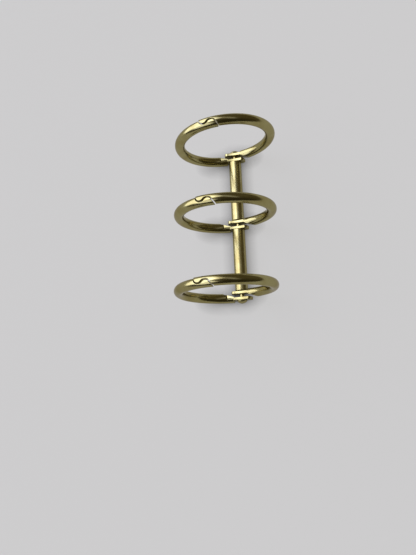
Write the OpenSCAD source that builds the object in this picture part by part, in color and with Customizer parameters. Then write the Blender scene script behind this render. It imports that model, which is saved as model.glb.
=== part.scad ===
// Three hinged book rings on one long rivet, kept apart by two spacer tubes.
// Units are millimetres. +Z is up, the rivet lies along Y, and -Y is the front.
// The part lies on its two tubes and on the rim of the front ring.

/* [Rings] */
// Clear inside diameter of each ring
ring_bore = 20.5; // [16:0.5:40]
// Diameter of the ring wire
wire_d = 2.5; // [2.2:0.1:3.5]
// Distance between neighbouring rings along the rivet
ring_pitch = 19; // [14:0.5:40]
// Lean of the rear ring to the left, in degrees
rear_ring_lean = 8; // [0:0.5:14]
// Lean of the middle ring to the left, in degrees
middle_ring_lean = 12; // [0:0.5:14]
// Angle by which the rear ring is bent out of square with the rivet
rear_ring_skew = 4; // [0:0.5:8]
// Distance of each half's wire from the ring's middle plane, at the hinge
hinge_offset = 0.5; // [0.3:0.05:0.6]
// The same distance at the clasp
clasp_offset = 0.1; // [0:0.05:0.2]

/* [Hinge] */
// Diameter of the rivet's shank
rivet_d = 1.2; // [0.8:0.1:1.6]
// Diameter of the rivet's two domed heads
head_d = 2.8; // [2:0.1:3.2]
// Height of each domed head
head_h = 0.8; // [0.3:0.1:1]
// Thickness of the flat at the hinge end of each half ring
flat_t = 0.8; // [0.5:0.05:1]
// Width of that flat across the wire
flat_w = 2.4; // [2:0.1:3.4]
// Open space between the two flats of one ring
flat_gap = 0.8; // [0.6:0.05:1]
// Length of the flat past the middle of the rivet
flat_overhang = 2.7; // [1.8:0.1:3.4]
// Distance from the rivet to the step where the round wire starts
shoulder_s = 4.4; // [4:0.1:6]
// Radius of the hollow corner at that step
shoulder_r = 0.8; // [0.6:0.1:1.2]
// Amount by which the wire's inner face slopes away between the flat and the step
face_slope = 0.4; // [0.2:0.05:0.5]

/* [Spacer tubes] */
// Outer diameter of the two tubes
tube_d = 3.3; // [2.8:0.1:4]

/* [Clasp] */
// Angle of the clasp's middle past the point opposite the rivet, to the left
clasp_turn = 6; // [0:0.5:10]
// Distance from the clasp's middle to the tip of each tongue
hook_reach = 2.3; // [2.1:0.1:3]
// Length over which each tongue's slanted tip falls back
hook_slant = 0.85; // [0.5:0.05:1]
// Radius of the round tooth on each tongue
tooth_r = 0.85; // [0.7:0.05:0.9]
// Distance of each tooth from the clasp's middle, along the wire
tooth_s = 0.9; // [0.8:0.05:1]
// How far each tooth reaches past the middle of the wire
tooth_bite = 0.15; // [0:0.05:0.2]

/* [Clearances] */
// Radial clearance of the rivet in the flats and in the tubes
running_clearance = 0.05; // [0.02:0.01:0.1]
// Play between each tube or head and the flat beside it
end_play = 0.05; // [0:0.01:0.1]
// Room between each tube and the end of the round wire beside it
tube_room = 0.25; // [0.15:0.05:0.6]
// Gap between the two tongues where they lie side by side
tongue_gap = 0.1; // [0.06:0.01:0.15]
// Width of the open slit at the tip of each tongue
tip_slit = 0.33; // [0.2:0.01:0.5]
// Room round each tooth in the notch that takes it
notch_room = 0.25; // [0.15:0.01:0.3]
// Shift of each notch towards the clasp's middle
notch_shift = 0.15; // [0.05:0.01:0.2]

/* [Hidden] */
$fn = 96;
half_turn = 180;
brass = "#b5a765";
bright_brass = "#c4b878";

wire_r = wire_d / 2;
tube_r = tube_d / 2;
ring_r = ring_bore / 2 + wire_r;
hole_d = rivet_d + 2 * running_clearance;
stack_half = flat_gap / 2 + flat_t;
seat_half = stack_half + end_play;
wire_start_s = tube_r + tube_room;

// Length by which every cut runs clear of what it cuts.
overrun = wire_d;
// Depth by which shapes of one piece run into each other.
weld = 0.05;

// Angles along the ring's circle that the hinge lengths stand for.
shoulder_angle = shoulder_s / ring_r * half_turn / PI;
overhang_angle = flat_overhang / ring_r * half_turn / PI;
wire_start_angle = wire_start_s / ring_r * half_turn / PI;

// Each half's wire tilts from its offset at the hinge to its offset at the clasp.
half_tilt = asin((clasp_offset - hinge_offset) / (2 * ring_r));
// The front ring leans until its rim is level with the underside of the tubes.
front_ring_lean = acos((ring_r + wire_r - tube_r) / ring_r);

// Reach of a half ring's wire from the rivet, along a direction in the half's own axes.
function wire_reach(direction, skew) =
    let (
        middle_z = hinge_offset + ring_r * sin(half_tilt),
        middle = [middle_z * sin(skew), ring_r * cos(half_tilt), middle_z * cos(skew)],
        axis = [cos(half_tilt) * sin(skew), -sin(half_tilt), cos(half_tilt) * cos(skew)]
    )
    direction * middle + ring_r * norm(cross(direction, axis)) + wire_r;

// Reach of the part to each side of the rivet's middle, from which it is centred on its origin.
left_reach = wire_reach([-cos(front_ring_lean), sin(front_ring_lean), 0], 0);
right_reach = wire_reach([-cos(rear_ring_lean), -sin(rear_ring_lean), 0], rear_ring_skew);
front_reach = ring_pitch + max(seat_half + head_h, hinge_offset + wire_r);
rear_reach = ring_pitch + max(seat_half + head_h, wire_reach([0, 0, 1], rear_ring_skew));
rivet_x = (left_reach - right_reach) / 2;
rivet_y = (front_reach - rear_reach) / 2;

// Each ring is drawn lying in XY with the rivet at the origin, along Z.
module on_rivet(row, lean) {
    translate([rivet_x, rivet_y + row * ring_pitch, tube_r])
        rotate([0, -lean, 0])
            rotate([half_turn / 2, 0, 0])
                children();
}

// Places children at an angle round the ring's circle, counted from the rivet to the left.
module at_ring_angle(angle) {
    translate([0, ring_r, 0])
        rotate([0, 0, -angle])
            translate([0, -ring_r, 0])
                children();
}

// Stretch of the round wire, from one angle round the ring to another.
module wire_arc(from_angle, to_angle) {
    translate([0, ring_r, 0])
        rotate([0, 0, -half_turn / 2 - to_angle])
            rotate_extrude(angle = to_angle - from_angle)
                translate([ring_r, 0])
                    circle(d = wire_d);
}

// Flat strip with the rivet's hole, which follows the ring's circle from the step past the rivet.
module hinge_flat() {
    far = ring_r + flat_w;
    translate([0, 0, flat_gap / 2])
        linear_extrude(height = flat_t)
            difference() {
                translate([0, ring_r])
                    intersection() {
                        difference() {
                            circle(r = ring_r + flat_w / 2);
                            circle(r = ring_r - flat_w / 2);
                        }
                        polygon([
                            [0, 0],
                            [-far * tan(shoulder_angle), -far],
                            [far * tan(overhang_angle), -far]
                        ]);
                    }
                circle(d = hole_d);
            }
}

// Space beside the other half's flat: a slope along the wire's inner face, then a hollow corner.
module hinge_cut() {
    face = flat_gap / 2 + weld;
    slope_end = face - face_slope;
    at_ring_angle(shoulder_angle)
        rotate([half_turn / 2, 0, 0])
            linear_extrude(height = wire_d + overrun, center = true)
                union() {
                    polygon([
                        [0, -overrun],
                        [0, slope_end - weld / 2],
                        [shoulder_s - wire_start_s, face],
                        [shoulder_s, face],
                        [shoulder_s, -overrun]
                    ]);
                    translate([0, slope_end - shoulder_r])
                        circle(r = shoulder_r);
                }
}

// Outline of one tongue of the clasp, from the clasp's middle: X runs along the wire
// to the tongue's tip, and Y across the wire.
module tongue_outline() {
    inner = tongue_gap / 2;
    tooth_y = tooth_r - tooth_bite;
    tip_s = hook_reach;
    root_s = hook_reach + tip_slit;
    slant = hook_slant / (wire_r - inner);
    outer_s = slant * (wire_d - wire_r);
    inner_s = slant * (wire_r - inner);
    root_inner_s = slant * (wire_r + inner);
    difference() {
        union() {
            polygon([
                [-root_s - 2 * overrun, wire_d],
                [-root_s - 2 * overrun, -wire_d],
                [-root_s - outer_s, -wire_d],
                [-root_s + root_inner_s, inner],
                [tip_s - inner_s, inner],
                [tip_s + outer_s, wire_d]
            ]);
            translate([tooth_s, tooth_y])
                circle(r = tooth_r);
        }
        translate([notch_shift - tooth_s, -tooth_y])
            circle(r = tooth_r + notch_room);
    }
}

// Space that the other half's tongue needs.
module clasp_cut(angle) {
    root_s = hook_reach + tip_slit;
    half_h = wire_r + hinge_offset;
    at_ring_angle(angle)
        rotate([half_turn / 2, 0, 0])
            linear_extrude(height = wire_d + overrun, center = true)
                mirror([1, 0])
                    difference() {
                        translate([-root_s - overrun, -half_h])
                            square([2 * (root_s + overrun), 2 * half_h]);
                        tongue_outline();
                    }
}

// One half ring: round wire, hinge flat and clasp tongue. The other half is the same, turned over.
module half_ring(skew, turn) {
    clasp_angle = half_turn - turn;
    end_angle = clasp_angle + (hook_reach + wire_r) / ring_r * half_turn / PI;
    union() {
        difference() {
            rotate([0, skew, 0])
                difference() {
                    translate([0, 0, hinge_offset])
                        rotate([half_tilt, 0, 0])
                            wire_arc(wire_start_angle, end_angle);
                    clasp_cut(clasp_angle);
                }
            hinge_cut();
        }
        hinge_flat();
    }
}

module left_half(row, lean, skew) {
    color(brass)
        on_rivet(row, lean)
            half_ring(skew, clasp_turn);
}

module right_half(row, lean, skew) {
    color(brass)
        on_rivet(row, lean)
            rotate([0, half_turn, 0])
                half_ring(skew, -clasp_turn);
}

module spacer_tube(row) {
    tube_l = ring_pitch - 2 * seat_half;
    color(bright_brass)
        translate([rivet_x, rivet_y + row * ring_pitch, tube_r])
            rotate([half_turn / 2, 0, 0])
                difference() {
                    cylinder(d = tube_d, h = tube_l, center = true);
                    cylinder(d = hole_d, h = tube_l + overrun, center = true);
                }
}

module domed_head() {
    dome_r = (pow(head_d / 2, 2) + pow(head_h, 2)) / (2 * head_h);
    rotate_extrude()
        intersection() {
            translate([0, head_h - dome_r])
                circle(r = dome_r);
            square([head_d, head_h]);
        }
}

module hinge_rivet() {
    shank_l = 2 * (ring_pitch + seat_half);
    color(bright_brass)
        translate([rivet_x, rivet_y, tube_r])
            rotate([half_turn / 2, 0, 0])
                union() {
                    cylinder(d = rivet_d, h = shank_l, center = true);
                    for (end = [0, half_turn])
                        rotate([end, 0, 0])
                            translate([0, 0, shank_l / 2])
                                domed_head();
                }
}

hinge_rivet();
spacer_tube(1 / 2);  // rear_spacer_tube
spacer_tube(-1 / 2);  // front_spacer_tube
left_half(1, rear_ring_lean, rear_ring_skew);  // rear_ring_left_half
right_half(1, rear_ring_lean, rear_ring_skew);  // rear_ring_right_half
left_half(0, middle_ring_lean, 0);  // middle_ring_left_half
right_half(0, middle_ring_lean, 0);  // middle_ring_right_half
left_half(-1, front_ring_lean, 0);  // front_ring_left_half
right_half(-1, front_ring_lean, 0);  // front_ring_right_half
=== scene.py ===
# %% [markdown]
# # A spine of three hinged book rings
#
# The object is a small loose-leaf spine: three wire rings hang on one long rivet, two
# spacer tubes keep them apart, and each ring opens at an S-shaped clasp. This lesson
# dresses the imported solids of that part: it loads them as a fixed frame, builds finer
# meshes for the pieces, gives them a plated-brass finish and lights them softly.

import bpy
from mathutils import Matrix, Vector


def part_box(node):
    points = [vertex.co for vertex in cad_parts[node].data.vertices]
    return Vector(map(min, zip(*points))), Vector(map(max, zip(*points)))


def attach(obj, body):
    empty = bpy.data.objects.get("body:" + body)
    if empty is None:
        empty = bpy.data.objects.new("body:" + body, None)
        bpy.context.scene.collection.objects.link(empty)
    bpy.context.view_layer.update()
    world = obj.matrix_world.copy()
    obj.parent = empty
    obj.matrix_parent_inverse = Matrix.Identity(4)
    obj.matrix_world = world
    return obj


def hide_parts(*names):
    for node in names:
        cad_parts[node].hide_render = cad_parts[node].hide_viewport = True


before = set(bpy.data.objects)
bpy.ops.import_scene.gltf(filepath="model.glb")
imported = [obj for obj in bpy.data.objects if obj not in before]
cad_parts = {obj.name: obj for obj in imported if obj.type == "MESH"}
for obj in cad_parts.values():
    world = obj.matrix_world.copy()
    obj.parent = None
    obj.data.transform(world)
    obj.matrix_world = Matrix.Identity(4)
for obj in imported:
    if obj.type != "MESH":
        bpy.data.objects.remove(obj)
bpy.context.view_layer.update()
print("nodes:", len(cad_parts))

# %% Other modules
import math

import bpy
import numpy as np
from mathutils import Matrix, Vector

# %% [markdown]
# ## The camera
#
# The rings stand on their rims and the camera looks down on them from above and a little
# from the front, with the spine off to the upper middle of an upright picture. The place
# of the eye is counted from the middle of the rivet, because every other piece hangs on
# that rivet. The top of the picture points a few degrees to the right of the rivet.

# %% Camera
MM = 0.001
IMAGE_HEIGHT_PX = 555
FOCAL_PX = 580
EYE_FROM_RIVET_MM = Vector((9.069, -44.147, 148.658))
AIM_FROM_RIVET_MM = Vector((-8.906, -13.239, -1.65))
PICTURE_TURN_DEG = 2.34

rivet_low, rivet_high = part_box("hinge_rivet")
rivet_middle = (rivet_low + rivet_high) / 2

camera_data = bpy.data.cameras.new("camera")
camera_data.lens = camera_data.sensor_width * FOCAL_PX / IMAGE_HEIGHT_PX
camera = bpy.data.objects.new("camera", camera_data)
look = (AIM_FROM_RIVET_MM - EYE_FROM_RIVET_MM).normalized()
picture_turn = math.radians(PICTURE_TURN_DEG)
top_of_picture = Vector((math.sin(picture_turn), math.cos(picture_turn), 0))
right = look.cross(top_of_picture).normalized()
up = right.cross(look)
camera.matrix_world = Matrix.Translation(rivet_middle + EYE_FROM_RIVET_MM * MM) @ Matrix(
    (right, up, -look)
).transposed().to_4x4()
camera_data.clip_start = MM
bpy.context.scene.collection.objects.link(camera)
bpy.context.scene.camera = camera
print("camera", round((EYE_FROM_RIVET_MM * MM).length, 4), "m from the rivet")

# %% [markdown]
# ## A ring and its place
#
# The rivet's place and the rings' spacing are read from the frame. The rest is written
# here, in millimetres, because a box can't tell it. The two wires of a ring don't lie in
# one plane: at the hinge each stands half a millimetre to its own flat's side, and towards
# the clasp they draw together.
#
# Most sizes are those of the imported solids. Close to the hinge and in the clasp's notch the
# meshes depart from them by some tenths of a millimetre, to follow the real pressed shapes.

# %% Sizes of a ring
RING_BORE = 20.5
WIRE_R = 1.25
RING_R = RING_BORE / 2 + WIRE_R
EDGE_R = 0.07
TUBE_R = 1.65
HINGE_OFFSET = 0.5
CLASP_OFFSET = 0.1
CLASP_TURN_DEG = 6

rear_tube_low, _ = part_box("rear_spacer_tube")
front_tube_low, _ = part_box("front_spacer_tube")
RING_PITCH = (rear_tube_low - front_tube_low).y / MM
HALF_TILT = math.asin((CLASP_OFFSET - HINGE_OFFSET) / (2 * RING_R))
print("ring circle", RING_R, "mm, tilt of each half", round(math.degrees(HALF_TILT), 2), "degrees")
print("ring spacing", round(RING_PITCH, 3), "mm")

# %% [markdown]
# ## A half ring, one slice at a time
#
# Each ring is two bent wires. One end of a wire is pressed into a flat that turns on the
# rivet, and the other is cut to a tongue with a round tooth, so that two tongues hook into
# an S. Boolean cuts would leave razor edges and ragged faces, which show at once in a
# polished metal. So each half ring is a sweep: slices stand along the ring's circle, every
# slice has the same number of points, and only its outline changes from slice to slice.
#
# An outline starts as fans of directions, one round each of its corners. It is then sampled
# again, with part of the points spread by length and part by how fast the outline turns, so
# that small roundings get their points too.

# %% Fans and sampling
SLICE_POINTS = 72
FAN_STEPS = 40
TURNING_SHARE = 0.55
FULL_TURN = 2 * math.pi
QUARTER_TURN = math.pi / 2


def fan(centre, radius, start, end):
    angles = np.linspace(start, end, FAN_STEPS)
    return np.stack(
        [
            centre[0] + radius * np.cos(angles),
            centre[1] + radius * np.sin(angles),
            angles,
        ],
        axis=1,
    )


def sampled(dense):
    closed = np.vstack([dense, dense[:1] + [0, 0, FULL_TURN]])
    length = np.hypot(*np.diff(closed[:, :2], axis=0).T)
    turning = np.diff(closed[:, 2]) / FULL_TURN
    share = (1 - TURNING_SHARE) * length / length.sum() + TURNING_SHARE * turning
    reached = np.concatenate([[0], np.cumsum(share)])
    wanted = np.arange(SLICE_POINTS) / SLICE_POINTS
    return np.stack([np.interp(wanted, reached, closed[:, i]) for i in (0, 1)], axis=1)


print("slices have", SLICE_POINTS, "points")

# %% [markdown]
# Two outlines do the whole job. One is the round wire, cut off below a given height, with
# its two corners rounded. The other is the flat's rounded rectangle. Both are drawn from
# their top and the same way round, so that a point keeps its place from slice to slice.

# %% Outlines of wire and flat


def cut_wire_outline(radius, floor, rounding):
    inner = radius - rounding
    corner_y = np.clip(floor + rounding, -inner, inner)
    corner = math.asin(corner_y / inner)
    corner_x = inner * math.cos(corner)
    return sampled(
        np.vstack(
            [
                fan((0, 0), radius, QUARTER_TURN, math.pi - corner),
                fan((-corner_x, corner_y), rounding, math.pi - corner, 3 * QUARTER_TURN),
                fan((corner_x, corner_y), rounding, 3 * QUARTER_TURN, FULL_TURN + corner),
                fan((0, 0), radius, FULL_TURN + corner, FULL_TURN + QUARTER_TURN)[:-1],
            ]
        )
    )


def flat_outline(half_width, low, high, rounding):
    x = half_width - rounding
    bottom = low + rounding
    top = high - rounding
    top_middle = np.array([[0, high, QUARTER_TURN]])
    corners = [
        fan((-x, top), rounding, QUARTER_TURN, math.pi),
        fan((-x, bottom), rounding, math.pi, 3 * QUARTER_TURN),
        fan((x, bottom), rounding, 3 * QUARTER_TURN, FULL_TURN),
        fan((x, top), rounding, FULL_TURN, FULL_TURN + QUARTER_TURN),
    ]
    return sampled(np.vstack([top_middle, *corners]))


uncut_outline = cut_wire_outline(WIRE_R, -WIRE_R, EDGE_R)
print("uncut wire is", round(np.ptp(uncut_outline[:, 0]), 3), "mm wide")

# %% [markdown]
# ## The line of the cut
#
# How much of the wire is cut away changes along its length, so the cut is a line: a height
# for every place along the wire. At the clasp it follows the S, with a slanted root, a
# notch, a straight stretch, a tooth and a slanted tip. The other half's tooth lies in the
# notch, with enough room round it to show as a dark line.

# %% The clasp's line
HOOK_REACH = 2.3
HOOK_SLANT = 0.85
TOOTH_R = 0.85
TOOTH_S = 0.9
TOOTH_BITE = 0.15
TONGUE_GAP = 0.1
TIP_SLIT = 0.33
NOTCH_ROOM = 0.45
NOTCH_SHIFT = 0.15


def clasp_line(s):
    inner = TONGUE_GAP / 2
    slant = HOOK_SLANT / (WIRE_R - inner)
    root = inner + (s + HOOK_REACH + TIP_SLIT - slant * (WIRE_R + inner)) / slant
    tip = inner + (s - HOOK_REACH + HOOK_SLANT) / slant
    line = np.where(s < 0, np.minimum(root, inner), np.maximum(tip, inner))
    tooth_y = TOOTH_R - TOOTH_BITE
    notch_r = TOOTH_R + NOTCH_ROOM
    from_tooth = np.clip(s - TOOTH_S, -TOOTH_R, TOOTH_R)
    from_notch = np.clip(s + TOOTH_S - NOTCH_SHIFT, -notch_r, notch_r)
    tooth = tooth_y - np.sqrt(TOOTH_R**2 - from_tooth**2)
    notch = np.sqrt(notch_r**2 - from_notch**2) - tooth_y
    on_tooth = np.abs(s - TOOTH_S) < TOOTH_R
    line = np.where(on_tooth, np.minimum(line, tooth), line)
    return np.where(np.abs(from_notch) < notch_r, np.maximum(line, notch), line)


print("notch", round(TOOTH_R + NOTCH_ROOM, 3), "mm in radius, tooth", TOOTH_R, "mm")

# %% [markdown]
# At the hinge the two halves of a ring are pressed in different ways. The left half's inner
# face falls away from its flat as far as a step with a hollow corner, and there the full
# round wire starts. The right half has no step: its face runs out into the round wire in
# one long taper. Both faces start just clear of the spacer tube.

# %% The two hinge lines
FLAT_T = 0.8
FLAT_W = 2.4
FLAT_GAP = 0.8
FLAT_OVERHANG = 2.7
FLAT_LOW = FLAT_GAP / 2
FLAT_HIGH = FLAT_LOW + FLAT_T
TUBE_ROOM = 0.25
WIRE_START_S = TUBE_R + TUBE_ROOM
SHOULDER_S = 4.4
SHOULDER_R = 0.8
FACE_FALL = 0.75
TAPER_END_S = 8.0
# Lower than the wire reaches, so that a line at this height cuts nothing.
UNCUT = -2.0


def stepped_line(s):
    face_end = FLAT_LOW - FACE_FALL
    from_step = np.clip((SHOULDER_S - s) / (SHOULDER_S - WIRE_START_S), 0, 1)
    into_corner = np.clip((s - SHOULDER_S) / SHOULDER_R, 0, 1)
    hollow = SHOULDER_R * (np.sqrt(1 - into_corner**2) - 1)
    line = face_end + FACE_FALL * from_step + hollow
    return np.where(s < SHOULDER_S + SHOULDER_R, line, UNCUT)


def tapered_line(s):
    along = np.clip((s - WIRE_START_S) / (TAPER_END_S - WIRE_START_S), 0, 1)
    return FLAT_LOW + along * (UNCUT - FLAT_LOW)


print("step at", SHOULDER_S, "mm, taper to", TAPER_END_S, "mm from the rivet")

# %% [markdown]
# A real press leaves its edges a little soft. A bevel on the finished mesh would trip over
# the tooth's tight corners, so the line itself is smoothed before anything is built on it,
# by a few hundredths of a millimetre, as a file stroke would.

# %% The whole cut line
LINE_STEP = 0.01
SOFTENING = 0.035
SOFTENING_REACH = 4


def softened(line):
    reach = int(SOFTENING_REACH * SOFTENING / LINE_STEP)
    weights = np.exp(-0.5 * (np.arange(-reach, reach + 1) * LINE_STEP / SOFTENING) ** 2)
    padded = np.pad(line, reach, mode="edge")
    return np.convolve(padded, weights / weights.sum(), mode="valid")


def cut_line(clasp_s, hinge_line):
    s = np.arange(-FLAT_OVERHANG, clasp_s + HOOK_REACH + HOOK_SLANT, LINE_STEP)
    near_clasp = clasp_line(RING_R * np.sin((s - clasp_s) / RING_R))
    line = np.where(s < clasp_s - RING_R, hinge_line(s), near_clasp)
    return s, softened(np.maximum(line, UNCUT))


print("a cut line has", len(cut_line(RING_R * math.pi, stepped_line)[0]), "steps")

# %% [markdown]
# ## From wire to flat
#
# The flat is the wire's own end, pressed to a strip with a hole for the rivet. Wire and
# strip have the same number of points, so a slice between them is a mix of the two. The mix
# takes a short way only, which leaves the crease beside each tube. At its far end the strip
# has two rounded corners.

# %% Where wire turns into flat
FLAT_BLEND = 0.2
FLAT_CORNER_R = 0.7
FLAT_EDGE_R = 0.14


def flat_share(s):
    along = np.clip((WIRE_START_S + FLAT_BLEND - s) / FLAT_BLEND, 0, 1)
    return along * along * (3 - 2 * along)


def flat_half_width(s):
    into_corner = np.clip(FLAT_CORNER_R - FLAT_OVERHANG - s, 0, FLAT_CORNER_R)
    return FLAT_W / 2 - FLAT_CORNER_R + math.sqrt(FLAT_CORNER_R**2 - into_corner**2)


print("flat", FLAT_W, "mm wide,", round(2 * flat_half_width(-FLAT_OVERHANG), 2), "mm at its end")

# %% [markdown]
# On a left half the press has also lowered the wire next to the flat: a ledge runs on from
# the flat's upper edge, rises a little and ends at a short wall. It could be one more
# Boolean cut. Here the points of each slice are held below a limit instead, which keeps the
# sweep whole. A plain minimum would leave saw-teeth where the limit passes between two
# points, so a soft minimum rounds the ledge's edges.

# %% The pressed ledge
PRESSED_END_S = 4.1
PRESSED_RISE = 0.2
PRESSED_WALL = 0.3
PRESSED_SIDE = 0.1
PRESSED_EDGE = 0.08
SIDE_SLOPE = 1.2


def pressed_height(s):
    corners = [WIRE_START_S, PRESSED_END_S, PRESSED_END_S + PRESSED_WALL]
    return np.interp(s, corners, [FLAT_W / 2, FLAT_W / 2 + PRESSED_RISE, 2 * WIRE_R])


def softly_lower(height, limit):
    return -PRESSED_EDGE * np.logaddexp(-height / PRESSED_EDGE, -limit / PRESSED_EDGE)


def pressed(wire, s):
    across, height, along_rivet = wire.T
    side_rise = -SIDE_SLOPE * softly_lower(PRESSED_SIDE - along_rivet, 0)
    lowered = softly_lower(height, pressed_height(s) + side_rise)
    return np.stack([across, lowered, along_rivet], axis=1)


print("ledge", round(PRESSED_END_S - WIRE_START_S, 3), "mm long")

# %% [markdown]
# The slices are set close together where the cut rises or falls, where wire turns into
# flat and at the ledge's wall, and far apart along the plain wire.

# %% Where the slices stand
PLAIN_SPACING = 0.25
CLASP_SPACING = 0.06
SHOULDER_SPACING = 0.1
FLAT_SPACING = 0.04
CUT_STEP = 0.06
CLASP_HALF = HOOK_REACH + TIP_SLIT


def slice_places(clasp_s, hinge_line):
    s, line = cut_line(clasp_s, hinge_line)
    tip = WIRE_R + CLASP_OFFSET - 2 * EDGE_R
    s_end = s[np.argmax((s > clasp_s) & (line > tip))]
    spacing = np.full_like(s, PLAIN_SPACING)
    spacing[np.abs(s - SHOULDER_S) < SHOULDER_R] = SHOULDER_SPACING
    spacing[np.abs(s - WIRE_START_S) < FLAT_BLEND] = FLAT_SPACING
    spacing[np.abs(s - PRESSED_END_S - PRESSED_WALL / 2) < PRESSED_WALL] = FLAT_SPACING
    spacing[s < FLAT_CORNER_R - FLAT_OVERHANG] = FLAT_SPACING
    spacing[np.abs(s - clasp_s) < CLASP_HALF] = CLASP_SPACING
    slope = np.abs(np.gradient(np.clip(line, -WIRE_R, WIRE_R), s))
    density = 1 / spacing + slope / CUT_STEP
    reached = np.concatenate([[0], np.cumsum((density[1:] + density[:-1]) / 2 * LINE_STEP)])
    last = np.interp(s_end, s, reached)
    places = np.interp(np.linspace(0, last, int(last) + 1), reached, s)
    return places[places > FLAT_EDGE_R - FLAT_OVERHANG], s, line


print("a half ring has", len(slice_places(RING_R * math.pi, stepped_line)[0]), "slices")

# %% [markdown]
# A slice's own axes are: across the wire, counted outwards from the ring's middle, and
# along the rivet. Past the rivet the flat ends in a rounded edge, so its last slices shrink
# along a quarter circle.

# %% The flat's rounded end
END_SLICES = 6


def on_circle(s, outline):
    angle = s / RING_R
    outward = np.array([-math.sin(angle), -math.cos(angle), 0])
    upward = np.array([0, 0, 1])
    ring_middle = np.array([0, RING_R, 0])
    return ring_middle + (RING_R + outline[:, :1]) * outward + outline[:, 1:] * upward


def flat_end_slices():
    slices = []
    for step in np.linspace(0, QUARTER_TURN, END_SLICES, endpoint=False):
        inset = FLAT_EDGE_R * (1 - math.sin(step))
        rounding = max(FLAT_EDGE_R - inset, FLAT_EDGE_R / END_SLICES)
        s = FLAT_EDGE_R * (1 - math.cos(step)) - FLAT_OVERHANG
        half_width = flat_half_width(s) - inset
        end = flat_outline(half_width, FLAT_LOW + inset, FLAT_HIGH - inset, rounding)
        slices.append(on_circle(s, end))
    return slices


print("a flat's end has", len(flat_end_slices()), "slices")

# %% [markdown]
# The half ring is built in the ring's own plane with the rivet at the origin, as a left
# half; a right half is later turned over. The wire is tilted out of that plane, and the
# rear ring's is bent out of square as well, while the flats stay square to the rivet. So
# wire and flat are placed apart and then mixed.

# %% Build one half ring


def half_ring_slices(skew, clasp_turn, hinge_line):
    clasp_s = RING_R * (math.pi - clasp_turn)
    places, s_line, line = slice_places(clasp_s, hinge_line)
    tilt = np.array(Matrix.Rotation(HALF_TILT, 3, "X")).T
    bend = np.array(Matrix.Rotation(skew, 3, "Y")).T
    offset = np.array([0, 0, HINGE_OFFSET])
    slices = flat_end_slices()
    for s in places:
        angle = s / RING_R
        middle = HINGE_OFFSET + RING_R * (1 - math.cos(angle)) * math.sin(HALF_TILT)
        if s < clasp_s - RING_R:
            middle += RING_R * math.sin(angle) * math.sin(skew)
        floor = np.interp(s, s_line, line) - middle
        wire = on_circle(s, cut_wire_outline(WIRE_R, floor, EDGE_R))
        if hinge_line is stepped_line and s < PRESSED_END_S + PRESSED_WALL:
            wire = pressed(wire, s)
        wire = (wire @ tilt + offset) @ bend
        flat = flat_outline(flat_half_width(s), FLAT_LOW, FLAT_HIGH, FLAT_EDGE_R)
        share = flat_share(s)
        slices.append((1 - share) * wire + share * on_circle(s, flat))
    return np.array(slices)


print("half ring:", half_ring_slices(0, 0, stepped_line).shape)

# %% [markdown]
# Turning slices into a mesh is the same job for a bent wire, a tube and a rivet: join each
# slice to the next with four-sided faces, and close the two ends or join the last slice to
# the first. The mesh also gets a map in real millimetres, along the piece and round it, so
# that fine drawing lines can follow the metal the way it was drawn through its die.

# %% Slices to mesh


def slices_to_mesh(name, slices, radius, ends="capped"):
    rows, columns = slices.shape[:2]
    index = np.arange(rows * columns).reshape(rows, columns)
    steps = np.linalg.norm(np.diff(slices, axis=0), axis=2).max(axis=1)
    along = np.concatenate([[0], np.cumsum(steps)])
    around = np.arange(columns + 1) * (FULL_TURN * radius / columns)
    if ends == "joined":
        index = np.vstack([index, index[:1]])
        along = np.append(along, along[-1] + steps.mean())
    index = np.hstack([index, index[:, :1]])
    places = np.stack(np.meshgrid(along, around, indexing="ij"), axis=-1)
    corners = [
        (slice(None, -1), slice(None, -1)),
        (slice(None, -1), slice(1, None)),
        (slice(1, None), slice(1, None)),
        (slice(1, None), slice(None, -1)),
    ]
    faces = np.stack([index[c] for c in corners], axis=-1).reshape(-1, 4).tolist()
    map_mm = np.stack([places[c] for c in corners], axis=-2).reshape(-1, 2)
    if ends == "capped":
        faces.append(index[0, -2::-1].tolist())
        faces.append(index[-1, :-1].tolist())
        map_mm = np.vstack([map_mm, places[0, -2::-1], places[-1, :-1]])
    mesh = bpy.data.meshes.new(name)
    mesh.from_pydata(slices.reshape(-1, 3).tolist(), [], faces)
    mesh.uv_layers.new(name="metal_mm").data.foreach_set("uv", map_mm.astype(np.float32).ravel())
    return mesh


print("once round the wire is", round(FULL_TURN * WIRE_R, 3), "mm on the map")

# %% [markdown]
# Three small jobs are left for every piece. Its faces are shaded smooth, except across edges
# that are really sharp. It is put in the scene. And its box is held against the box of the
# solid that it stands for, because a finer mesh must not change the part's size.

# %% Finish and measure a mesh
SHARP_DEG = 40


def smooth_faces(mesh):
    mesh.polygons.foreach_set("use_smooth", np.ones(len(mesh.polygons), bool))
    mesh.set_sharp_from_angle(angle=math.radians(SHARP_DEG))


def add_piece(name, mesh):
    piece = bpy.data.objects.new(name, mesh)
    bpy.context.scene.collection.objects.link(piece)
    return piece


def compare_with_node(piece, node):
    low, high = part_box(node)
    points = np.array([v.co for v in piece.data.vertices])
    off = max(
        np.abs(points.min(axis=0) - np.array(low)).max(),
        np.abs(points.max(axis=0) - np.array(high)).max(),
    )
    print(f"{piece.name}: {len(piece.data.polygons)} faces, box off by {off / MM:.3f} mm")


print("edges over", SHARP_DEG, "degrees stay sharp")

# %% [markdown]
# The rivet's hole goes through each flat. It is the one cut that a sweep can't make, so it
# is a Boolean with a plain round drill, applied straight away.

# %% Drill the rivet's hole
DRILL_POINTS = 64
RIVET_HOLE_R = 0.65


def drill():
    angles = np.arange(DRILL_POINTS) * FULL_TURN / DRILL_POINTS
    circle = RIVET_HOLE_R * np.stack([np.cos(angles), np.sin(angles), 0 * angles], axis=1)
    depth = np.array([0, 0, 2 * WIRE_R])
    mesh = slices_to_mesh("drill", np.array([circle - depth, circle + depth]), RIVET_HOLE_R)
    return add_piece("drill", mesh)


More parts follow.
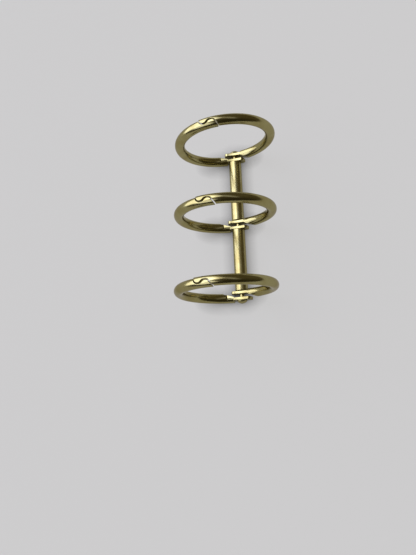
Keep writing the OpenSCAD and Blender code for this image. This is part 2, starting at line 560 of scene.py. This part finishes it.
def drilled(mesh):
    blank = add_piece("blank", mesh)
    tool = drill()
    cut = blank.modifiers.new("rivet hole", "BOOLEAN")
    cut.operation = "DIFFERENCE"
    cut.solver = "EXACT"
    cut.object = tool
    graph = bpy.context.evaluated_depsgraph_get()
    result = bpy.data.meshes.new_from_object(blank.evaluated_get(graph))
    for scrap in (blank, tool):
        bpy.data.objects.remove(scrap)
    return result


print("drill", 2 * RIVET_HOLE_R, "mm")

# %% [markdown]
# Each half ring is now laid on the rivet: stood up, leaned to the left as its ring leans,
# and moved along the rivet to its row. The front ring leans until its rim is level with the
# underside of the tubes, because the part rests on that rim. A right half is the same sweep
# turned over, with its own hinge line, and its clasp lies as far the other way.

# %% The six half rings
LEANS_DEG = {
    "rear": 8,
    "middle": 12,
    "front": math.degrees(math.acos((RING_R + WIRE_R - TUBE_R) / RING_R)),
}
ROWS = {"rear": 1, "middle": 0, "front": -1}
SKEWS_DEG = {"rear": 4, "middle": 0, "front": 0}
HALF_TURN = Matrix.Rotation(math.pi, 4, "Y")
SIDES = (("left", Matrix(), 1, stepped_line), ("right", HALF_TURN, -1, tapered_line))


def ring_place(ring):
    row = Vector((0, ROWS[ring] * RING_PITCH * MM, 0))
    lean = Matrix.Rotation(-math.radians(LEANS_DEG[ring]), 4, "Y")
    stand = Matrix.Rotation(QUARTER_TURN, 4, "X")
    return Matrix.Translation(rivet_middle + row) @ lean @ stand @ Matrix.Scale(MM, 4)


half_rings = []
for ring in ROWS:
    for side, turn_over, sign, hinge_line in SIDES:
        node = f"{ring}_ring_{side}_half"
        name = f"{ring}_{side}_wire"
        slices = half_ring_slices(
            math.radians(SKEWS_DEG[ring]), sign * math.radians(CLASP_TURN_DEG), hinge_line
        )
        mesh = drilled(slices_to_mesh(name, slices, WIRE_R))
        mesh.name = name
        mesh.transform(ring_place(ring) @ turn_over)
        smooth_faces(mesh)
        half = add_piece(name, mesh)
        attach(half, f"{ring}_{side}")
        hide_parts(node)
        half_rings.append(half)
        compare_with_node(half, node)

# %% [markdown]
# ## Tubes and rivet
#
# Tube and rivet are turned shapes, so each is an outline carried round the rivet's axis. A
# Screw modifier could do it, but the sweep above already makes the mesh and its map. The
# rivet's outline is one line from tip to tip: a shallow dome, the flat underside of the
# head, the shank and then the same again.

# %% Turned outlines
TURN_STEPS = 128
RIVET_R = 0.6
HEAD_R = 1.4
HEAD_H = 0.8
HEAD_EDGE_R = 0.1
TIP_R = 0.01


def turned_slices(outline):
    angles = -np.arange(TURN_STEPS) * FULL_TURN / TURN_STEPS
    along, radius = outline.T
    around = np.stack([np.cos(angles), np.sin(angles)])
    return np.stack(
        [
            radius[:, None] * around[0],
            np.repeat(along[:, None], TURN_STEPS, axis=1),
            radius[:, None] * around[1],
        ],
        axis=-1,
    )


def rivet_outline(half_length):
    dome_r = (HEAD_R**2 + HEAD_H**2) / (2 * HEAD_H)
    rim = math.asin((HEAD_R - HEAD_EDGE_R) / dome_r)
    dome = fan((half_length + HEAD_H - dome_r, 0), dome_r, TIP_R / dome_r, rim)[:, :2]
    edge_middle = dome[-1] - HEAD_EDGE_R * np.array([math.cos(rim), math.sin(rim)])
    edge = fan(edge_middle, HEAD_EDGE_R, rim, math.pi)[1:, :2]
    edge[:, 0] = np.maximum(edge[:, 0], half_length)
    shank = np.array([[half_length, RIVET_R + HEAD_EDGE_R], [half_length, RIVET_R]])
    half = np.vstack([dome, edge, shank])
    return np.vstack([half, half[::-1] * [-1, 1]])


rivet_half = (rivet_high - rivet_low).y / 2 / MM - HEAD_H
print("rivet", round(2 * rivet_half, 3), "mm between its heads")

# %% [markdown]
# A cut tube is tumbled until its rims are soft, so its outline is a long rounded rectangle,
# drawn by the function that drew the flats. Its length and place come from the frame.

# %% Two tubes and a rivet
TUBE_BORE_R = 0.65
TUBE_EDGE_R = 0.12


def turned_piece(name, outline, radius, ends, middle, nodes):
    mesh = slices_to_mesh(name, turned_slices(outline), radius, ends)
    mesh.transform(Matrix.Translation(middle) @ Matrix.Scale(MM, 4))
    smooth_faces(mesh)
    piece = add_piece(name, mesh)
    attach(piece, "post")
    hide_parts(*nodes)
    compare_with_node(piece, nodes[0])
    return piece


turned = []
for place in ("rear", "front"):
    node = f"{place}_spacer_tube"
    low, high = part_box(node)
    outline = flat_outline((high - low).y / 2 / MM, TUBE_BORE_R, TUBE_R, TUBE_EDGE_R)
    middle = (low + high) / 2
    turned.append(turned_piece(f"{place}_tube", outline, TUBE_R, "joined", middle, [node]))

turned.append(
    turned_piece(
        "rivet", rivet_outline(rivet_half), HEAD_R, "capped", rivet_middle, ["hinge_rivet"]
    )
)

# %% [markdown]
# ## The finish
#
# Materials are built from nodes, and two helpers keep that short. Colours are written as
# they look on a screen, and one function turns them into the linear values that a renderer
# adds up. The other adds a node, sets it and links it in one call.

# %% Colours and nodes


def linear(hex_colour):
    channels = [int(hex_colour[i : i + 2], 16) / 255 for i in (1, 3, 5)]
    return [
        c / 12.92 if c <= 0.04045 else ((c + 0.055) / 1.055) ** 2.4 for c in channels
    ] + [1.0]


def add_node(tree, kind, inputs, **settings):
    node = tree.nodes.new(kind)
    for key, value in settings.items():
        setattr(node, key, value)
    for socket, value in inputs.items():
        if isinstance(value, bpy.types.NodeSocket):
            tree.links.new(value, node.inputs[socket])
        else:
            node.inputs[socket].default_value = value
    return node


print("mid grey is", round(linear("#808080")[0], 3), "in linear light")

# %% [markdown]
# The metal is drawn wire and tube with a polished brass plating: a dull greenish gold that
# is nearly a mirror. A plain metal shader would look like plastic film, so four patterns
# break it up. Faint lines run along the wire, left by the die that it was drawn through. A
# ripple like orange peel comes from the polishing. Smudges a few millimetres wide make the
# plating duller and warmer in places. A grain of tiny pits makes the bright reflections
# sparkle instead of shining evenly.
#
# The lines follow the map in millimetres. The other three are solid noises in the piece's
# own space, so they need no map.

# %% Patterns in the plating
SMUDGE_MM = 3.5
SMUDGE_DETAIL = 3.0
PEEL_MM = 0.45
# Real pits and die lines are some hundredths of a millimetre wide, too fine to show in the
# picture, so both are drawn about as coarse as they need to be to show.
GRAIN_MM = 0.09
LINE_WIDTH_MM = 0.12
LINE_LENGTH_MM = 9.0
LINE_DETAIL = 2.0
FINE_DETAIL = 1.0
SOLID_PATTERNS = (
    ("smudges", SMUDGE_MM, SMUDGE_DETAIL),
    ("peel", PEEL_MM, FINE_DETAIL),
    ("grain", GRAIN_MM, FINE_DETAIL),
)


def plating_patterns(tree):
    patterns = {}
    place = add_node(tree, "ShaderNodeTexCoord", {}).outputs["Object"]
    for pattern, size_mm, detail in SOLID_PATTERNS:
        inputs = {"Vector": place, "Scale": 1 / (size_mm * MM), "Detail": detail}
        patterns[pattern] = add_node(tree, "ShaderNodeTexNoise", inputs).outputs["Fac"]
    metal_mm = add_node(tree, "ShaderNodeUVMap", {}, uv_map="metal_mm").outputs["UV"]
    stretch = {"Vector": metal_mm, "Scale": (1 / LINE_LENGTH_MM, 1 / LINE_WIDTH_MM, 1)}
    along_wire = add_node(tree, "ShaderNodeMapping", stretch).outputs["Vector"]
    inputs = {"Vector": along_wire, "Scale": 1.0, "Detail": LINE_DETAIL}
    patterns["lines"] = add_node(tree, "ShaderNodeTexNoise", inputs).outputs["Fac"]
    return patterns


print("solid patterns:", ", ".join(f"{name} {size} mm" for name, size, _ in SOLID_PATTERNS))

# %% [markdown]
# Base colour and roughness carry the smudges, and three bumps, one on top of the other,
# carry the peel, the grain and the lines. Their depths are a few thousandths of a
# millimetre at most, because a polished metal shows the least dent. At a glancing angle any
# metal turns pale; the edge tint keeps a little of the brass there.

# %% Brass plating
DEPTHS_MM = {"peel": 0.0025, "grain": 0.0005, "lines": 0.0012}
SMUDGE_START = 0.4
SMUDGE_FULL = 0.68
EDGE_TINT = "#e1ddd4"


def brass_plating(name, clean, smudged, smooth, dull):
    material = bpy.data.materials.new(name)
    material.use_nodes = True
    tree = material.node_tree
    shader = tree.nodes["Principled BSDF"]
    shader.inputs["Metallic"].default_value = 1.0
    shader.inputs["Specular Tint"].default_value = linear(EDGE_TINT)
    patterns = plating_patterns(tree)
    smudges = {"Value": patterns["smudges"]}
    smudge_range = {**smudges, "From Min": SMUDGE_START, "From Max": SMUDGE_FULL}
    smudge_share = add_node(tree, "ShaderNodeMapRange", smudge_range).outputs["Result"]
    colours = {"Factor": smudge_share, "A": linear(clean), "B": linear(smudged)}
    colour = add_node(tree, "ShaderNodeMix", colours, data_type="RGBA").outputs["Result"]
    tree.links.new(colour, shader.inputs["Base Color"])
    rough_range = {**smudges, "To Min": smooth, "To Max": dull}
    roughness = add_node(tree, "ShaderNodeMapRange", rough_range).outputs["Result"]
    tree.links.new(roughness, shader.inputs["Roughness"])
    below = {}
    for pattern, depth_mm in DEPTHS_MM.items():
        inputs = {"Height": patterns[pattern], "Distance": depth_mm * MM, "Strength": 1.0}
        bump = add_node(tree, "ShaderNodeBump", {**inputs, **below})
        below = {"Normal": bump.outputs["Normal"]}
    tree.links.new(below["Normal"], shader.inputs["Normal"])
    return material


# Drawn wire, polished after bending: tight bright streaks along it and deep dark arcs.
wire_brass = brass_plating(
    "polished brass plating on drawn wire",
    clean="#9c9466",
    smudged="#8e8352",
    smooth=0.1,
    dull=0.26,
)
# Drawn tube, tumbled: a little paler and duller, with broad soft bands from end to end.
tube_brass = brass_plating(
    "polished brass plating on drawn tube",
    clean="#a29a6c",
    smudged="#948857",
    smooth=0.2,
    dull=0.34,
)
for half in half_rings:
    half.data.materials.append(wire_brass)
for piece in turned:
    piece.data.materials.append(tube_brass)
print("plated", len(half_rings), "half rings and", len(turned), "turned pieces")

# %% [markdown]
# ## The floor
#
# The floor is a sheet of pale matt paper. A small mirror-like thing needs a dim room round
# it, or its dark side is lost, and in such a room the paper would turn grey. So most of what
# the eye and the metal see of the sheet is a glow in the paper's own colour, and the rest is
# plain paper, which takes the lamps' soft shadow.
#
# A glow has no shadow of its own, and a bright floor mirrored in a hinge looks like a gap.
# So an ambient occlusion node dims the glow within a few millimetres of the metal: a painted contact
# shadow in the glow, seen by the eye and mirrored in the metal.

# %% Floor
FLOOR_SIZE = 8.0
PAPER = "#cccbca"
PAPER_ROUGHNESS = 0.9
GLOW_SHARE = 0.9
SHADOW_REACH_MM = 3.5
SHADOW_SAMPLES = 8


def flat_sheet(name, size):
    mesh = bpy.data.meshes.new(name)
    h = size / 2
    mesh.from_pydata([(-h, -h, 0), (h, -h, 0), (h, h, 0), (-h, h, 0)], [], [(0, 1, 2, 3)])
    return add_piece(name, mesh)


def pale_paper(name):
    material = bpy.data.materials.new(name)
    material.use_nodes = True
    tree = material.node_tree
    paper = tree.nodes["Principled BSDF"]
    paper.inputs["Base Color"].default_value = linear(PAPER)
    paper.inputs["Roughness"].default_value = PAPER_ROUGHNESS
    # The occlusion dims the paper's glow close to the metal, which paints a contact shadow.
    reach = {"Distance": SHADOW_REACH_MM * MM}
    openness = add_node(tree, "ShaderNodeAmbientOcclusion", reach, samples=SHADOW_SAMPLES)
    light = {"Color": linear(PAPER), "Strength": openness.outputs["AO"]}
    glow = add_node(tree, "ShaderNodeEmission", light)
    path = add_node(tree, "ShaderNodeLightPath", {}).outputs
    seen = path["Is Camera Ray"]
    for ray in ("Is Glossy Ray", "Is Transmission Ray"):
        either = add_node(tree, "ShaderNodeMath", {0: seen, 1: path[ray]}, operation="MAXIMUM")
        seen = either.outputs["Value"]
    share = add_node(tree, "ShaderNodeMath", {0: seen, 1: GLOW_SHARE}, operation="MULTIPLY")
    mixed = add_node(
        tree,
        "ShaderNodeMixShader",
        {0: share.outputs["Value"], 1: paper.outputs["BSDF"], 2: glow.outputs["Emission"]},
    )
    tree.links.new(mixed.outputs["Shader"], tree.nodes["Material Output"].inputs["Surface"])
    return material


# Uncoated paper: an even pale grey with no shine, which leaves the eye on the metal.
floor = flat_sheet("floor", FLOOR_SIZE)
floor.data.materials.append(pale_paper("pale matt paper"))
print("floor", FLOOR_SIZE, "m wide")

# %% [markdown]
# ## The light
#
# What a mirror shows is the room, so the light is set by what the metal should show. The
# room itself is dim and warm, a little brighter to the rear than in front, which keeps the
# dark arcs on top of the rings dark and brown.

# %% Room
ROOM = "#ffedc0"
ROOM_FRONT = 0.05
ROOM_REAR = 0.15
FRONT_Y = -0.7
REAR_Y = 0.3

world = bpy.data.worlds.new("dim room")
bpy.context.scene.world = world
world.use_nodes = True
room = world.node_tree
background = room.nodes["Background"]
background.inputs["Color"].default_value = linear(ROOM)
outlook = add_node(room, "ShaderNodeTexCoord", {}).outputs["Generated"]
rearward = add_node(room, "ShaderNodeSeparateXYZ", {0: outlook}).outputs["Y"]
room_places = {"Value": rearward, "From Min": FRONT_Y, "From Max": REAR_Y}
room_levels = {"To Min": ROOM_FRONT, "To Max": ROOM_REAR}
room_level = add_node(room, "ShaderNodeMapRange", {**room_places, **room_levels})
room.links.new(room_level.outputs["Result"], background.inputs["Strength"])
print("room from", ROOM_FRONT, "in front to", ROOM_REAR, "at the rear")

# %% [markdown]
# The lamps are four soft windows: a large one to the left and a little behind, a smaller one
# to the left in front, a panel high up between them and a weak glow on the ceiling to the
# right. A hard-edged lamp would make the round tubes look faceted, so each is an ellipse
# that fades towards its rim.
#
# A lamp is placed by its direction from the part, counted from the rear with the left as
# minus, and by the angles that it fills. Its level is the brightness that a mirror would
# show at its middle, where 1 is white, and its power follows from its level and its area.
# The lamps stand far off, so that none of them cuts through the floor near the part.

# %% Lamps
DAYLIGHT = "#e4e7ff"
LAMP_DISTANCE = 3.0
ELLIPSE_SHARE = math.pi / 4
LAMP_MIDDLE = (0.5, 0.5, 0)
LAMP_RIM = 0.5
LAMP_CORE = 0.28


def faded_emission(tree):
    across = add_node(tree, "ShaderNodeNewGeometry", {}).outputs["Parametric"]
    points = {0: across, 1: LAMP_MIDDLE}
    off_middle = add_node(tree, "ShaderNodeVectorMath", points, operation="DISTANCE")
    fade = add_node(
        tree,
        "ShaderNodeMapRange",
        {"Value": off_middle.outputs["Value"], "From Min": LAMP_RIM, "From Max": LAMP_CORE},
        interpolation_type="SMOOTHSTEP",
    )
    tree.nodes["Emission"].inputs["Color"].default_value = linear(DAYLIGHT)
    tree.links.new(fade.outputs["Result"], tree.nodes["Emission"].inputs["Strength"])


def soft_window(name, azimuth_deg, elevation_deg, width_deg, height_deg, level):
    azimuth = math.radians(azimuth_deg)
    elevation = math.radians(elevation_deg)
    direction = Vector(
        (
            math.sin(azimuth) * math.cos(elevation),
            math.cos(azimuth) * math.cos(elevation),
            math.sin(elevation),
        )
    )
    data = bpy.data.lights.new(name, "AREA")
    data.shape = "ELLIPSE"
    data.size = 2 * LAMP_DISTANCE * math.tan(math.radians(width_deg / 2))
    data.size_y = 2 * LAMP_DISTANCE * math.tan(math.radians(height_deg / 2))
    data.energy = level * math.pi * ELLIPSE_SHARE * data.size * data.size_y
    data.use_nodes = True
    faded_emission(data.node_tree)
    lamp = add_piece(name, data)
    lamp.location = direction * LAMP_DISTANCE
    lamp.rotation_mode = "QUATERNION"
    lamp.rotation_quaternion = (-direction).to_track_quat("-Z", "Y")
    print(name, round(data.energy, 2), "W")


WINDOWS = {
    "left window": dict(azimuth_deg=-62, elevation_deg=24, width_deg=96, height_deg=100, level=4.1),
    "front left window": dict(
        azimuth_deg=-128, elevation_deg=40, width_deg=60, height_deg=50, level=2.6
    ),
    "overhead panel": dict(azimuth_deg=-50, elevation_deg=62, width_deg=50, height_deg=42, level=2.4),
    "ceiling glow": dict(azimuth_deg=50, elevation_deg=74, width_deg=80, height_deg=26, level=0.5),
}
for name, window in WINDOWS.items():
    soft_window(name, **window)

# %% [markdown]
# The Standard view shows colours as they are written.

# %% The view
bpy.context.scene.view_settings.view_transform = "Standard"
